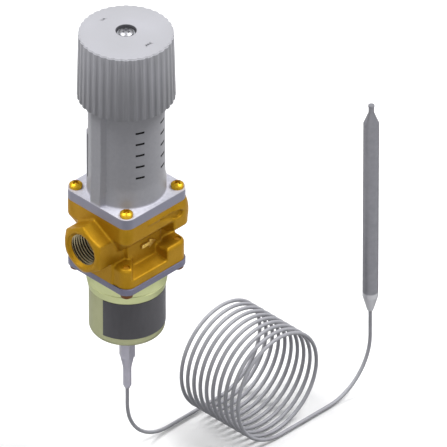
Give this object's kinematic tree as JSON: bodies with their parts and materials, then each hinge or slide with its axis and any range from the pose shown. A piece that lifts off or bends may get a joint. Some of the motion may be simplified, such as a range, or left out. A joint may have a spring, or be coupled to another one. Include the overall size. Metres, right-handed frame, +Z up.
{
  "type": "thermostatic water valve",
  "caption": "Self-acting water valve: a remote bulb on a coiled capillary opens a spring-loaded seat valve in a brass body with threaded hexagon ports.",
  "frame": {"origin": "centre of the inlet port's mouth", "axes": "+X along the flow from the inlet to the outlet, +Z up the spindle towards the hand knob"},
  "size_m": [0.1839, 0.0821, 0.2888],
  "materials": {
    "knob": "moulded grey plastic with grip flutes",
    "steel": "turned bright steel",
    "inner_brass": "turned brass",
    "sleeve": "die-cast aluminium, lacquered grey",
    "screw": "yellow passivated zinc plate on steel",
    "rubber": "moulded rubber",
    "body_brass": "hot-forged brass",
    "cover": "plated steel plate",
    "dark_screw": "dark plated steel",
    "bellows_can": "yellow-green passivated zinc plate",
    "band": "plain dark grey foil without print",
    "gland": "nickel-plated steel",
    "capillary": "drawn tube, dull grey",
    "bulb": "drawn tube, dull grey"
  },
  "bodies": {
    "root": {"spring_housing": "sleeve", "thread_bush": "inner_brass", "setting_spring": "steel", "housing_screws": "screw", "upper_diaphragm": "rubber", "seat_ring": "steel", "valve_body": "body_brass", "lower_diaphragm": "rubber", "lower_cover": "cover", "guide_bush": "inner_brass", "cover_screws": "dark_screw", "crimp_ring": "bellows_can", "bellows_housing": "bellows_can", "bellows": "inner_brass", "label_band": "band", "gland_nut": "gland", "capillary_ferrule": "gland", "capillary_tube": "capillary", "sensor_bulb": "bulb"},
    "spring_press": {"upper_spring_seat": "steel", "thrust_washer": "inner_brass"},
    "knob": {"hand_knob": "knob", "knob_screw": "steel", "knob_washer": "steel", "setting_spindle": "steel"},
    "valve_stem": {"lower_spring_seat": "steel", "diaphragm_nut": "steel", "valve_spindle": "steel", "valve_cone": "inner_brass", "cone_seal": "rubber", "seal_nut": "inner_brass", "push_pin": "steel"}
  },
  "joints": [
    {"name": "knob_travel", "type": "slide", "parent": "root", "child": "spring_press", "axis": [0, 0, 1], "range_m": [-0.036, 0], "deforming": ["setting_spring"]},
    {"name": "knob_turn", "type": "hinge", "parent": "spring_press", "child": "knob", "pos_m": [0.036, 0, 0.1], "axis": [0, 0, 1], "range_deg": [-4320, 0]},
    {"name": "spindle_lift", "type": "slide", "parent": "root", "child": "valve_stem", "axis": [0, 0, 1], "range_m": [0, 0.004], "stiffness_N_per_m": 2000, "springref_m": -0.01, "deforming": ["bellows", "upper_diaphragm", "lower_diaphragm"]}
  ],
  "couplings": [
    {"joint": "knob_turn", "follows": "knob_travel", "rad_per_m": 2094.4}
  ]
}
